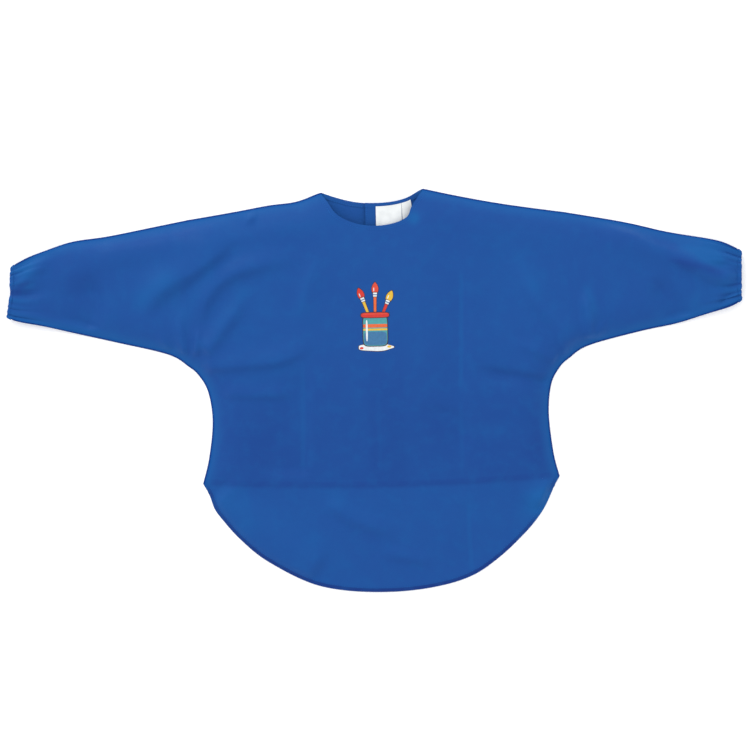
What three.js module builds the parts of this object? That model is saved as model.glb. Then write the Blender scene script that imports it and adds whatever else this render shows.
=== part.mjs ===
// A child's long-sleeved painting smock, closed at the back and laid flat on its back, front up.
// Millimetres. +X is towards the wearer's left hand, +Y towards the neck, +Z up off the table.
// The origin is on the table, under the middle of the smock's outline.
// The smock is drawn with y measured up from the lowest point of its hem, and shifted at the end.
import * as THREE from "three";

// Cloth and the gap between pieces that lie on each other.
const FABRIC = 0.6;
const GAP = 0.3;

// Overall sizes.
const LENGTH = 588; // hem to the neck points
const HALF_SPAN = 538; // middle to the end of a cuff

// Body, from the hem up.
const BIB_DEPTH = 163; // hem to the corners where the side seams end
const BIB_FOLD = 150; // hem to the line where the apron front folds up
const HALF_HEM = 262; // half width at the corners
const HALF_FOLD = 254.5; // half width at the apron front's fold
const HALF_WAIST = 246;
const WAIST_UP = 92; // corner to the narrowest point of the body
const BACK_HEM_SAG = 9; // how far the back's hem dips in the middle
const HEM_WIDTH = 7;

// Neck.
const HALF_NECK = 75.5;
const FRONT_NECK_DROP = 52;
const BACK_NECK_DROP = 18;
const FACING_WIDTH = 7;

// Sleeves, cut in one with the body, and their fold beside it.
const SLEEVE_FOLD = 280; // middle to the line where a sleeve folds in
const SHOULDER_FALL = 37.5; // neck point down to the seam at the sleeve's fold
const SLEEVE_DEPTH = 214.5; // from seam to seam at the fold
const UNDERARM_IN = 28; // how far the underarm curve reaches past the fold
const UNDERARM_FALL = 37; // and how far below it
const SLEEVE_TOP_FALL = 56; // from the fold to the cuff, along the top seam
const CUFF_START_WIDTH = 86;

// Cuffs.
const CASING_LENGTH = 15;
const CUFF_WIDTH = 73;
const CUFF_HEIGHT = 17;
const ELASTIC_WIDTH = 10;
const ELASTIC_THICKNESS = 1.2;

// Back closure.
const OVERLAP_LEFT = -15; // edge of the inner, left half
const OVERLAP_RIGHT = 34; // edge of the outer, right half
const PLACKET_WIDTH = 25;
const INNER_RISE = 35; // over which the inner half climbs onto the outer one
const TAPE_WIDTH = 20;
const TAPE_LENGTH = 50;
const TAPE_THICKNESS = 1;
const TAPE_BELOW_NECK = 12;

// Labels and print.
const LABEL_THICKNESS = 0.4;
const LABEL_BELOW_EDGE = 3;
const SIZE_LABEL = { from: 2, width: 38, length: 42 };
const CARE_LABEL = { from: 41, width: 15, length: 56 };
const PRINT = { x: -3, belowNeck: 186, width: 54, length: 102, thickness: 0.4 };

// Loft: how far the front stands off the table, with the air that the laid smock holds.
const CHEST_LOFT = 24;
const CUFF_LOFT = 17;
const HEM_LOFT = 12;
const NECK_DIP = 11;
const NECK_DIP_REACH = new THREE.Vector2(90, 70);
const EDGE_ROUND = 45; // from a seam to where the front lies level
const BIB_FALL = 95; // over which the apron front comes down to the table

const SEAM_TOP = 2 * FABRIC + GAP; // the front's seam edge, lying on the back
const HALF_GAP = GAP / 2;
const CUFF_START = HALF_SPAN - CASING_LENGTH;
const shoulderAtFold = LENGTH - SHOULDER_FALL;
const underarmAtFold = shoulderAtFold - SLEEVE_DEPTH;

const at = (x, y) => new THREE.Vector2(x, y);
const mix = THREE.MathUtils.lerp;
const ease = (t) => THREE.MathUtils.smoothstep(t, 0, 1);
const line = (a, b) => new THREE.LineCurve(a, b);
const mirrored = (p) => at(-p.x, p.y);

// Points along joined curves, each with its own number of equal steps.
function stations(...runs) {
  const points = [runs[0][0].getPointAt(0)];
  for (const [curve, steps] of runs) {
    for (let i = 1; i <= steps; i++) points.push(curve.getPointAt(i / steps));
  }
  return points;
}

// ---- The outline, on the wearer's left ----

const hemCorner = at(HALF_HEM, BIB_DEPTH);
const neckPoint = at(HALF_NECK, LENGTH);
const sideSeam = new THREE.SplineCurve([
  hemCorner,
  at(mix(HALF_HEM, HALF_WAIST, 0.62), BIB_DEPTH + 0.42 * WAIST_UP),
  at(HALF_WAIST, BIB_DEPTH + WAIST_UP),
  at(SLEEVE_FOLD - UNDERARM_IN, underarmAtFold - UNDERARM_FALL),
  at(SLEEVE_FOLD - 0.46 * UNDERARM_IN, underarmAtFold - 0.3 * UNDERARM_FALL),
  at(SLEEVE_FOLD, underarmAtFold),
]);
const shoulderSeam = new THREE.SplineCurve([
  neckPoint,
  at(mix(HALF_NECK, SLEEVE_FOLD, 0.5), LENGTH - 0.57 * SHOULDER_FALL),
  at(SLEEVE_FOLD, shoulderAtFold),
]);
const cuffTop = shoulderAtFold - SLEEVE_TOP_FALL;
const cuffMiddle = cuffTop - CUFF_START_WIDTH / 2;
const sleeveReach = CUFF_START - SLEEVE_FOLD;
const sleeveTopSeam = new THREE.SplineCurve([
  at(SLEEVE_FOLD, shoulderAtFold),
  at(SLEEVE_FOLD + 0.45 * sleeveReach, shoulderAtFold - 0.37 * SLEEVE_TOP_FALL),
  at(SLEEVE_FOLD + 0.86 * sleeveReach, shoulderAtFold - 0.77 * SLEEVE_TOP_FALL),
  at(CUFF_START, cuffTop),
]);
const sleeveLowerRise = cuffTop - CUFF_START_WIDTH - underarmAtFold;
const sleeveUnderSeam = new THREE.SplineCurve([
  at(SLEEVE_FOLD, underarmAtFold),
  at(SLEEVE_FOLD + 0.12 * sleeveReach, underarmAtFold + 0.25 * sleeveLowerRise),
  at(SLEEVE_FOLD + 0.45 * sleeveReach, underarmAtFold + 0.53 * sleeveLowerRise),
  at(SLEEVE_FOLD + 0.86 * sleeveReach, underarmAtFold + 0.86 * sleeveLowerRise),
  at(CUFF_START, underarmAtFold + sleeveLowerRise),
]);

const backHemY = (x) => BIB_DEPTH - BACK_HEM_SAG * (1 - (x / HALF_HEM) ** 2);
const backNeckY = (x) =>
  LENGTH - BACK_NECK_DROP * (1 - Math.abs(x / HALF_NECK) ** 2.2);

// ---- The front's height ----

const seamSteps = 24;
const seams = [sideSeam, shoulderSeam, sleeveTopSeam, sleeveUnderSeam].flatMap(
  (curve) => {
    const points = curve.getSpacedPoints(seamSteps);
    return points.slice(1).map((p, i) => [points[i], p]);
  },
);

function distanceToSegment(p, [a, b]) {
  const along = b.clone().sub(a);
  const t = p.clone().sub(a).dot(along) / along.lengthSq();
  return p.distanceTo(a.clone().addScaledVector(along, THREE.MathUtils.clamp(t, 0, 1)));
}

// Height of the front's upper face: low along the seams, level inside them.
function frontHeight(x, y) {
  const p = at(Math.abs(x), y);
  const fromSeam = Math.min(...seams.map((seam) => distanceToSegment(p, seam)));
  const inside = Math.min(fromSeam / EDGE_ROUND, 1);
  const alongArm = ease((p.x - HALF_NECK) / (HALF_SPAN - HALF_NECK));
  const belowWaist = ease((BIB_DEPTH + WAIST_UP - y) / (BIB_DEPTH + WAIST_UP - BIB_FOLD));
  const nearNeck =
    (x / NECK_DIP_REACH.x) ** 2 + ((y - LENGTH) / NECK_DIP_REACH.y) ** 2;
  const loft =
    mix(mix(CHEST_LOFT, CUFF_LOFT, alongArm), HEM_LOFT, belowWaist) -
    NECK_DIP * Math.exp(-nearNeck);
  return SEAM_TOP + loft * (1 - (1 - inside) ** 2);
}

// The apron front falls from the body's height to the table.
function bibHeight(x, y) {
  const loft = frontHeight(x, BIB_FOLD) - SEAM_TOP;
  return SEAM_TOP + loft * (1 - ease((BIB_FOLD - y) / BIB_FALL));
}

// ---- Geometry makers ----

// A closed sheet through a grid of points, given as rows of THREE.Vector3 on its upper face.
function sheet(grid, thickness = FABRIC) {
  const rows = grid.length - 1;
  const columns = grid[0].length - 1;
  const geometry = new THREE.BoxGeometry(1, 1, 1, columns, rows, 1);
  const position = geometry.getAttribute("position");
  for (let i = 0; i < position.count; i++) {
    const column = Math.round((position.getX(i) + 0.5) * columns);
    const row = Math.round((position.getY(i) + 0.5) * rows);
    const { x, y, z } = grid[row][column];
    position.setXYZ(i, x, y, position.getZ(i) < 0 ? z - thickness : z);
  }
  geometry.computeVertexNormals();
  return geometry;
}

// A grid that fills four edges, each a list of points, with a height for each place.
function patch({ bottom, top, left, right }, height) {
  const columns = bottom.length - 1;
  const rows = left.length - 1;
  const blend = (u, v, i, j, axis) =>
    mix(bottom[i][axis], top[i][axis], v) +
    mix(left[j][axis], right[j][axis], u) -
    mix(
      mix(bottom[0][axis], bottom[columns][axis], u),
      mix(top[0][axis], top[columns][axis], u),
      v,
    );
  return left.map((_, j) =>
    bottom.map((_, i) => {
      const x = blend(i / columns, j / rows, i, j, "x");
      const y = blend(i / columns, j / rows, i, j, "y");
      return new THREE.Vector3(x, y, height(x, y));
    }),
  );
}

// The rows of a grid between two shares of its height, at even steps, raised by lift.
function rowsBetween(grid, from, to, steps, lift = 0) {
  const last = grid.length - 1;
  return Array.from({ length: steps + 1 }, (_, k) => {
    const row = mix(from, to, k / steps) * last;
    const low = Math.min(Math.floor(row), last - 1);
    return grid[low].map((p, i) => {
      const q = p.clone().lerp(grid[low + 1][i], row - low);
      return q.setZ(q.z + lift);
    });
  });
}

// A flat plate from an outline.
function plate(outline, bottom, thickness = FABRIC) {
  const geometry = new THREE.ExtrudeGeometry(new THREE.Shape(outline), {
    depth: thickness,
    bevelEnabled: false,
  });
  return geometry.translate(0, 0, bottom);
}

// A ring of cloth round the arm. The profile is a closed loop of (depth, length) points, and
// place(turn, depth, length) puts each of them, with turn from 0 round to 2 pi.
function ring(profile, steps, place) {
  const shift = 10; // keeps the lathe's radii apart from its axis
  const closed = [...profile, profile[0]].map((p) => at(shift - p.x, p.y));
  const geometry = new THREE.LatheGeometry(closed, steps);
  const position = geometry.getAttribute("position");
  for (let i = 0; i < position.count; i++) {
    const turn = Math.atan2(position.getX(i), position.getZ(i));
    const depth = shift - Math.hypot(position.getX(i), position.getZ(i));
    const { x, y, z } = place(turn, depth, position.getY(i));
    position.setXYZ(i, x, y, z);
  }
  geometry.computeVertexNormals();
  return geometry;
}

const finish = {
  nylon: { color: 0x26549e, roughness: 0.62 },
  inside: { color: 0x1f468a, roughness: 0.7 },
  elastic: { color: 0xe9e8e2, roughness: 0.85 },
  tape: { color: 0x1d3f7d, roughness: 0.95 },
  label: { color: 0xf1f3f6, roughness: 0.5 },
  print: { color: 0x4fb0b8, roughness: 0.4 },
};

const smock = new THREE.Group();

function add(name, geometry, kind) {
  const mesh = new THREE.Mesh(
    geometry,
    new THREE.MeshStandardMaterial({ ...finish[kind], metalness: 0 }),
  );
  mesh.name = name;
  smock.add(mesh);
}

// ---- Front ----

const SHOULDER_STEPS = 7;
const SCOOP_STEPS = 12;
const HALF_PLAIN_WIDTH = 0.47 * HALF_FOLD; // of the columns that rise to the neck
const foldEdge = SLEEVE_FOLD - HALF_GAP;
const insideFold = (p) => at(Math.min(p.x, foldEdge), p.y);

function frontGrid() {
  const bodyBottom = BIB_FOLD + HALF_GAP;
  const rightSide = stations(
    [line(at(HALF_FOLD, bodyBottom), hemCorner), 1],
    [sideSeam, 10],
    [line(at(SLEEVE_FOLD, underarmAtFold), at(SLEEVE_FOLD, shoulderAtFold)), 12],
  ).map(insideFold);
  const shoulder = stations([shoulderSeam, SHOULDER_STEPS]).map(insideFold);
  const scoop = new THREE.EllipseCurve(
    0, LENGTH, HALF_NECK, FRONT_NECK_DROP, Math.PI, 2 * Math.PI,
  ).getSpacedPoints(SCOOP_STEPS);
  const across = (x) => at(x, bodyBottom);
  return patch(
    {
      bottom: stations(
        [line(across(-HALF_FOLD), across(-HALF_PLAIN_WIDTH)), SHOULDER_STEPS],
        [line(across(-HALF_PLAIN_WIDTH), across(HALF_PLAIN_WIDTH)), SCOOP_STEPS],
        [line(across(HALF_PLAIN_WIDTH), across(HALF_FOLD)), SHOULDER_STEPS],
      ),
      top: [
        ...shoulder.map(mirrored).reverse(),
        ...scoop.slice(1, -1),
        ...shoulder,
      ],
      left: rightSide.map(mirrored),
      right: rightSide,
    },
    frontHeight,
  );
}

const front = frontGrid();
add("front_panel", sheet(front), "nylon");

// The facing is turned in under the neck's edge, and stops short of the shoulder seams.
const lastRow = front.length - 1;
const rowHeight = front[lastRow][SHOULDER_STEPS + SCOOP_STEPS / 2].y -
  front[lastRow - 1][SHOULDER_STEPS + SCOOP_STEPS / 2].y;
const facingFrom = 1 - FACING_WIDTH / rowHeight / lastRow;
const scoopColumns = (row) =>
  row.slice(SHOULDER_STEPS + 2, SHOULDER_STEPS + SCOOP_STEPS - 1);
add(
  "neck_facing_front",
  sheet(rowsBetween(front, facingFrom, 1, 1, -FABRIC - GAP).map(scoopColumns)),
  "inside",
);

// The printed motif is a thin film on the chest.
function printGrid() {
  const arc = (from, to) =>
    new THREE.EllipseCurve(
      PRINT.x,
      LENGTH - PRINT.belowNeck,
      PRINT.width / 2,
      PRINT.length / 2,
      THREE.MathUtils.degToRad(from),
      THREE.MathUtils.degToRad(to),
      from > to,
    ).getSpacedPoints(8);
  return patch(
    { bottom: arc(225, 315), top: arc(135, 45), left: arc(225, 135), right: arc(-45, 45) },
    (x, y) => frontHeight(x, y) + GAP + PRINT.thickness,
  );
}
add("chest_print", sheet(printGrid(), PRINT.thickness), "print");

// ---- Apron front: the single layer below the back's hem ----

const HEM_STEPS = 32;

function hemCurve() {
  const half = [
    at(HALF_FOLD, BIB_FOLD),
    at(0.93 * HALF_FOLD, 0.76 * BIB_FOLD),
    at(0.816 * HALF_FOLD, 0.527 * BIB_FOLD),
    at(0.65 * HALF_FOLD, 0.293 * BIB_FOLD),
    at(0.36 * HALF_FOLD, 0.059 * BIB_FOLD),
  ];
  return new THREE.SplineCurve([...half.map(mirrored), at(0, 0), ...half.reverse()]);
}

const hem = hemCurve().getSpacedPoints(HEM_STEPS);

function bibGrid() {
  const top = BIB_FOLD - HALF_GAP;
  const lowered = (p) => at(p.x, Math.min(p.y, top - 2));
  const bottom = hem.map(lowered);
  const side = (x) => [bottom[x < 0 ? 0 : HEM_STEPS], at(x, top)];
  return patch(
    {
      bottom,
      top: line(at(-HALF_FOLD, top), at(HALF_FOLD, top)).getSpacedPoints(HEM_STEPS),
      left: stations([line(...side(-HALF_FOLD)), 9]),
      right: stations([line(...side(HALF_FOLD)), 9]),
    },
    bibHeight,
  );
}
add("apron_front", sheet(bibGrid()), "nylon");

// Its hem is turned under and lies on the table.
function turnedHem() {
  const last = HEM_STEPS - 1;
  const edge = hem.slice(1, last + 1);
  const inner = edge.map((p, i) => {
    const along = hem[i + 2].clone().sub(hem[i]).normalize();
    return at(p.x - along.y * HEM_WIDTH, p.y + along.x * HEM_WIDTH);
  });
  return [edge, inner].map((row) => row.map((p) => new THREE.Vector3(p.x, p.y, FABRIC)));
}
add("apron_hem", sheet(turnedHem()), "inside");

// ---- Back: each half has a fixed side and a flap that opens about the line from its neck
// point to its hem corner ----

const hingeAlong = hemCorner.clone().sub(neckPoint).normalize();
const hingeOut = at(-hingeAlong.y, hingeAlong.x);
const fromHinge = (p, distance) => p.clone().addScaledVector(hingeOut, distance);

function backSideOutline() {
  const edge = [
    ...stations([sideSeam, 12]),
    ...stations([shoulderSeam, 6]).reverse(),
  ].map(insideFold);
  const [corner, ...rest] = edge;
  const neck = rest.pop();
  return [
    fromHinge(corner, HALF_GAP).add(at(0, GAP)),
    ...rest,
    fromHinge(neck, HALF_GAP).add(at(GAP, 0)),
  ];
}
const backSide = backSideOutline();
add("back_side_left", plate(backSide, 0), "nylon");
add("back_side_right", plate(backSide.map(mirrored).reverse(), 0), "nylon");

// Where the inner, left half climbs onto the outer one, with the closed tapes between them.
const outerFacingTop = 2 * FABRIC + GAP;
const tapesTop = outerFacingTop + 2 * (GAP + TAPE_THICKNESS);
const INNER_LIFT = tapesTop + GAP;
const innerLevel = OVERLAP_RIGHT + 2;
const FAN_COLUMNS = 4;
const FLAP_ROWS = 8;

// A flap is drawn as straight columns from hem to neck: upright by the edge, then a fan that
// ends on its hinge. Each column is [x at the hem, x at the neck, height above the table].
function flapColumns(uprights) {
  const [lastX] = uprights.at(-1);
  const fan = Array.from({ length: FAN_COLUMNS }, (_, k) => {
    const share = (k + 1) / FAN_COLUMNS;
    return [mix(lastX, HALF_HEM, share), mix(lastX, HALF_NECK, share), 0];
  });
  return [...uprights.map(([x, lift]) => [x, x, lift]), ...fan];
}

function flapGrid(columns) {
  const hinge = columns.length - 1;
  const ends = columns.map(([hemX, neckX, lift], i) => {
    const low = at(hemX, backHemY(hemX));
    const high = at(neckX, backNeckY(neckX));
    const inset = i === hinge ? -HALF_GAP : 0;
    return { low: fromHinge(low, inset), high: fromHinge(high, inset), lift };
  });
  return Array.from({ length: FLAP_ROWS + 1 }, (_, j) =>
    ends.map(({ low, high, lift }) => {
      const p = low.clone().lerp(high, j / FLAP_ROWS);
      return new THREE.Vector3(p.x, p.y, lift + FABRIC);
    }),
  );
}

const mirrorGrid = (grid) =>
  grid.map((row) => row.map((p) => new THREE.Vector3(-p.x, p.y, p.z)).reverse());

// The turned hem, the neck facing and the placket facing lie on a flap's inner face.
function flapTrim(side, grid, sideOut) {
  const lift = GAP + FABRIC;
  const height = backNeckY(0) - backHemY(0);
  const hemShare = HEM_WIDTH / height;
  const facingShare = FACING_WIDTH / height;
  const gapShare = GAP / height;
  const trim = (from, to, steps, columns) =>
    sheet(sideOut(rowsBetween(grid, from, to, steps, lift).map(columns)));
  const offHinge = (row) => row.slice(0, -1);
  add(`back_hem_${side}`, trim(0, hemShare, 1, offHinge), "inside");
  add(`neck_facing_back_${side}`, trim(1 - facingShare, 1, 1, offHinge), "inside");
  add(
    `placket_facing_${side}`,
    trim(hemShare + gapShare, 1 - facingShare - gapShare, FLAP_ROWS, (row) => row.slice(0, 2)),
    "inside",
  );
}

const innerFlap = flapGrid(
  flapColumns([
    [OVERLAP_LEFT, INNER_LIFT],
    [OVERLAP_LEFT + PLACKET_WIDTH, INNER_LIFT],
    [innerLevel, INNER_LIFT],
    [innerLevel + INNER_RISE, 0],
  ]),
);
add("back_flap_left", sheet(innerFlap), "nylon");
flapTrim("left", innerFlap, (grid) => grid);

const outerFlap = flapGrid(
  flapColumns([
    [-OVERLAP_RIGHT, 0],
    [PLACKET_WIDTH - OVERLAP_RIGHT, 0],
    [HALF_NECK / 2, 0],
  ]),
);
add("back_flap_right", sheet(mirrorGrid(outerFlap)), "nylon");
flapTrim("right", outerFlap, mirrorGrid);

// ---- Hook and loop closure, pressed shut between the halves just below the neck ----

function tape(bottom) {
  const right = OVERLAP_RIGHT - 2;
  const top = backNeckY(right) - TAPE_BELOW_NECK;
  const corners = [
    at(right - TAPE_WIDTH, top - TAPE_LENGTH),
    at(right, top - TAPE_LENGTH),
    at(right, top),
    at(right - TAPE_WIDTH, top),
  ];
  return plate(corners, bottom, TAPE_THICKNESS);
}
add("hook_tape", tape(outerFacingTop + GAP), "tape");
add("loop_tape", tape(outerFacingTop + 2 * GAP + TAPE_THICKNESS), "tape");

// ---- Labels, sewn in at the back of the neck on the left half ----

const innerFacingTop = INNER_LIFT + 2 * FABRIC + GAP;
const labelTop = innerFacingTop + GAP + LABEL_THICKNESS;

// A label follows the slope of the inner half under it.
function labelHeight(x) {
  const down = THREE.MathUtils.clamp((x - innerLevel) / INNER_RISE, 0, 1);
  return labelTop - INNER_LIFT * down;
}

function label({ from, width, length }) {
  const to = from + width;
  const bends = [innerLevel, innerLevel + INNER_RISE].filter((x) => x > from && x < to);
  const across = [from, ...bends, to];
  const edge = (x) => backNeckY(x) - LABEL_BELOW_EDGE;
  const rows = [length, 0].map((down) =>
    across.map((x) => new THREE.Vector3(x, edge(x) - down, labelHeight(x))),
  );
  return sheet(rows, LABEL_THICKNESS);
}
add("size_label", label(SIZE_LABEL), "label");
add("care_label", label(CARE_LABEL), "label");

// ---- Sleeves and cuffs ----

const SLEEVE_STEPS = 12;
const RING_STEPS = 24;

// A sleeve is one tube: a lofted upper wall over a flat lower wall, closed along both seams.
function sleevePoint(turn, depth, share) {
  const upper = sleeveTopSeam.getPointAt(share);
  const lower = sleeveUnderSeam.getPointAt(share);
  const width = upper.distanceTo(lower);
  const inset = (1.5 * depth) / width;
  const across = mix(inset, 1 - inset, (1 + Math.cos(turn)) / 2);
  const p = lower.clone().lerp(upper, across);
  const high = frontHeight(p.x, p.y) - depth;
  const side = Math.sin(turn);
  const wall = Math.abs(side) < 1e-6 ? 0.5 : Number(side > 0);
  const x = Math.max(p.x, SLEEVE_FOLD + HALF_GAP);
  return new THREE.Vector3(x, p.y, mix(depth, high, wall));
}

// A cuff is a flattened oval that narrows towards the hand.
function cuffPoint(turn, depth, length) {
  const halfWidth = mix(CUFF_START_WIDTH, CUFF_WIDTH, length / CASING_LENGTH) / 2 - depth;
  const halfHeight = CUFF_HEIGHT / 2 - depth;
  const flat = (value) => Math.sign(value) * Math.abs(value) ** 0.75;
  return new THREE.Vector3(
    CUFF_START + GAP + length,
    cuffMiddle + halfWidth * flat(Math.cos(turn)),
    CUFF_HEIGHT / 2 + halfHeight * flat(Math.sin(turn)),
  );
}

// The casing is the cloth's end turned in and sewn, with the elastic inside it.
const casingDepth = 2 * (FABRIC + GAP) + ELASTIC_THICKNESS;
const casingEnd = CASING_LENGTH - GAP;
const casingProfile = [
  at(0, 0),
  at(0, casingEnd),
  at(casingDepth, casingEnd),
  at(casingDepth, 0),
  at(casingDepth - FABRIC, 0),
  at(casingDepth - FABRIC, casingEnd - FABRIC),
  at(FABRIC, casingEnd - FABRIC),
  at(FABRIC, 0),
];
const elasticFrom = casingEnd - FABRIC - GAP - ELASTIC_WIDTH;
const elasticProfile = [
  at(FABRIC + GAP, elasticFrom),
  at(FABRIC + GAP, elasticFrom + ELASTIC_WIDTH),
  at(FABRIC + GAP + ELASTIC_THICKNESS, elasticFrom + ELASTIC_WIDTH),
  at(FABRIC + GAP + ELASTIC_THICKNESS, elasticFrom),
];
const sleeveProfile = [
  ...Array.from({ length: SLEEVE_STEPS + 1 }, (_, i) => at(0, i / SLEEVE_STEPS)),
  ...Array.from({ length: SLEEVE_STEPS + 1 }, (_, i) => at(FABRIC, 1 - i / SLEEVE_STEPS)),
];

// A mirrored ring has its profile reversed, so that its faces still point out.
for (const [side, sign] of [["left", 1], ["right", -1]]) {
  const arm = (profile, place) =>
    ring(sign > 0 ? profile : [...profile].reverse(), RING_STEPS, (...where) => {
      const p = place(...where);
      return p.setX(sign * p.x);
    });
  add(`sleeve_${side}`, arm(sleeveProfile, sleevePoint), "nylon");
  add(`cuff_casing_${side}`, arm(casingProfile, cuffPoint), "nylon");
  add(`cuff_elastic_${side}`, arm(elasticProfile, cuffPoint), "elastic");
}

smock.position.y = -LENGTH / 2;

export default smock;
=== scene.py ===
import math

import bmesh
import bpy
import numpy as np
from mathutils import Matrix, Vector


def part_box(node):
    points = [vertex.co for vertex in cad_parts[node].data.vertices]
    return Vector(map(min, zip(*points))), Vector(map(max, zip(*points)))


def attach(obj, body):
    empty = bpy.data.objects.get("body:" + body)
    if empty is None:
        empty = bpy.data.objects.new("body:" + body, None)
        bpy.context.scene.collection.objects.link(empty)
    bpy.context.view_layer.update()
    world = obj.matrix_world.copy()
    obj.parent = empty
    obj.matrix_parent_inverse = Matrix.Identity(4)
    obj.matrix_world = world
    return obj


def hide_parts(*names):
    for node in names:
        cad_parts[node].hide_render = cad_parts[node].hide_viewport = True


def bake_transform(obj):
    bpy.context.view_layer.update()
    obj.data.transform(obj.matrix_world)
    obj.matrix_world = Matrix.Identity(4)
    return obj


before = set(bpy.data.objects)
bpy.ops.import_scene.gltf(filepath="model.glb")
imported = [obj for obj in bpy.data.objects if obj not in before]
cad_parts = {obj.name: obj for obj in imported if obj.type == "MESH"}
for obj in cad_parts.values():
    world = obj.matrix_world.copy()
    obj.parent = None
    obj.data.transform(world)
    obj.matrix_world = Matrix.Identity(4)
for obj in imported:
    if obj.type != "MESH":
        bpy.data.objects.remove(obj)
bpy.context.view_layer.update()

# A child's long-sleeved painting smock, laid flat on its back, front up.
# Places are drawn in millimetres, x from the middle towards the wearer's left, y up from the
# lowest point of the hem, z up off the table. to_metres() moves them into the frame.

# ---- Sizes ----

LENGTH = 588
HALF_SPAN = 538
BIB_DEPTH = 163
HALF_HEM = 262
HALF_WAIST = 246
WAIST_UP = 92
BACK_HEM_SAG = 9
HEM_WIDTH = 7
HALF_NECK = 75.5
FRONT_NECK_DROP = 52
BACK_NECK_DROP = 18
FACING_WIDTH = 7
SLEEVE_FOLD = 280
CASING_LENGTH = 8
CUFF_START = HALF_SPAN - CASING_LENGTH
CUFF_START_WIDTH = 79
CUFF_WIDTH = 72
SLEEVE_END_WIDTH = 86  # where the elastic starts to draw the sleeve in
OVERLAP_LEFT = -15
OVERLAP_RIGHT = 34
PLACKET_WIDTH = 25
FRONT_GRID = (170, 130)  # columns and rows of faces
APRON_GRID = (170, 50)
BACK_GRID = (64, 84)
LABEL_GRID = (16, 24)

CLOTH = 0.45  # the drawn thickness of the nylon
LAYER = 0.55  # one layer lying on another
SEAM_TOP = 1.2  # height of the front's edge, sewn to the back
CHEST_LOFT = 17
CUFF_LOFT = 13
HEM_LOFT = 8
CUFF_HEIGHT = 15
SEAM_ROUND = 46  # from a seam to where the front lies level
HEM_ROUND = 120  # the same for the apron front's free hem
NECK_DIP = 7
WIDE_WAVE, SHORT_WAVE = 210, 85  # the loft's gentle unevenness, from crest to crest

# A smock is never laid quite true. Each entry: a place, how far it is pulled in x and y, and how
# far round it the pull reaches.
PULLS = [
    (-451, 520, 0, 5.5, 42),
    (-536, 418, -6.5, -2.5, 26),
    (-116, 576, 0, -4.5, 30),
    (-76, 588, -3.5, 0, 20),
    (72, 588, -5.5, 2, 22),
    (535, 445, -3.5, 0, 34),
    (428, 519, 0, -3, 46),
    (443, 388, 0, -3, 40),
    (248, 246, 2.5, 0, 60),
    (136, 26, 4, -3, 42),
    (10, 0, 0, -2, 80),
    (-247, 122, -3, 1, 16),
]


def nearness(x, y, at_x, at_y, reach):
    """How near each place is to a point, from 1 there down to 0 well past reach."""
    return np.exp(-((x - at_x) ** 2 + (y - at_y) ** 2) / reach**2)


def to_metres(x, y, z):
    """Places in millimetres, as rows of metres in the frame."""
    x, y, z = (np.asarray(a, float) for a in np.broadcast_arrays(x, y, z))
    laid_x, laid_y = x, y
    for at_x, at_y, pull_x, pull_y, reach in PULLS:
        share = nearness(x, y, at_x, at_y, reach)
        laid_x, laid_y = laid_x + pull_x * share, laid_y + pull_y * share
    return np.stack([laid_x, laid_y - LENGTH / 2, z], axis=-1) / 1000


def ease(t):
    t = np.clip(t, 0, 1)
    return t * t * (3 - 2 * t)


def mix(a, b, t):
    return a + (b - a) * t


# ---- Lines ----


def even(line, count):
    """A line's points, spaced evenly in count steps."""
    reach = np.concatenate([[0], np.cumsum(np.linalg.norm(np.diff(line, axis=0), axis=1))])
    steps = np.asarray(count) if np.ndim(count) else np.linspace(0, 1, count + 1)
    return np.stack([np.interp(steps * reach[-1], reach, column) for column in line.T], axis=1)


def curve(points, count=120):
    """Evenly spaced points on a smooth curve through points."""
    p = np.array([points[0], *points, points[-1]], float)
    t = np.linspace(0, len(points) - 1, 60 * len(points))
    i = np.minimum(t.astype(int), len(points) - 2)
    f = (t - i)[:, None]
    a, b, c, d = p[i], p[i + 1], p[i + 2], p[i + 3]
    smooth = b + 0.5 * f * (c - a + f * (2 * a - 5 * b + 4 * c - d + f * (3 * b - a - 3 * c + d)))
    return even(smooth, count)


def straight(a, b):
    return np.array([a, b], float)


def joined(*lines):
    return np.concatenate([lines[0], *[line[1:] for line in lines[1:]]])


def mirrored(line):
    return line * (-1, 1)


def to_line(x, y, line):
    """Distance from each place to a line, its side (1 on the left), and where along it (0 to 1)."""
    a, along = line[:-1], np.diff(line, axis=0)
    px, py = x[:, None] - a[:, 0], y[:, None] - a[:, 1]
    length2 = (along**2).sum(axis=1)
    t = np.clip((px * along[:, 0] + py * along[:, 1]) / length2, 0, 1)
    dx, dy = px - t * along[:, 0], py - t * along[:, 1]
    far2 = dx**2 + dy**2
    best = far2.argmin(axis=1)
    rows = np.arange(len(x))
    side = np.sign(along[best, 0] * dy[rows, best] - along[best, 1] * dx[rows, best])
    return np.sqrt(far2[rows, best]), side, (best + t[rows, best]) / len(a)


def back_hem_y(x):
    return BIB_DEPTH - BACK_HEM_SAG * (1 - (x / HALF_HEM) ** 2)


def back_neck_y(x):
    return LENGTH - BACK_NECK_DROP * (1 - np.abs(x / HALF_NECK) ** 2.2)


SHOULDER_AT_FOLD = 550.5
UNDERARM_AT_FOLD = 336
SLEEVE_END = HALF_SPAN - 15
CUFF_TOP = 494.5
CUFF_MIDDLE = CUFF_TOP - SLEEVE_END_WIDTH / 2

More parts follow.
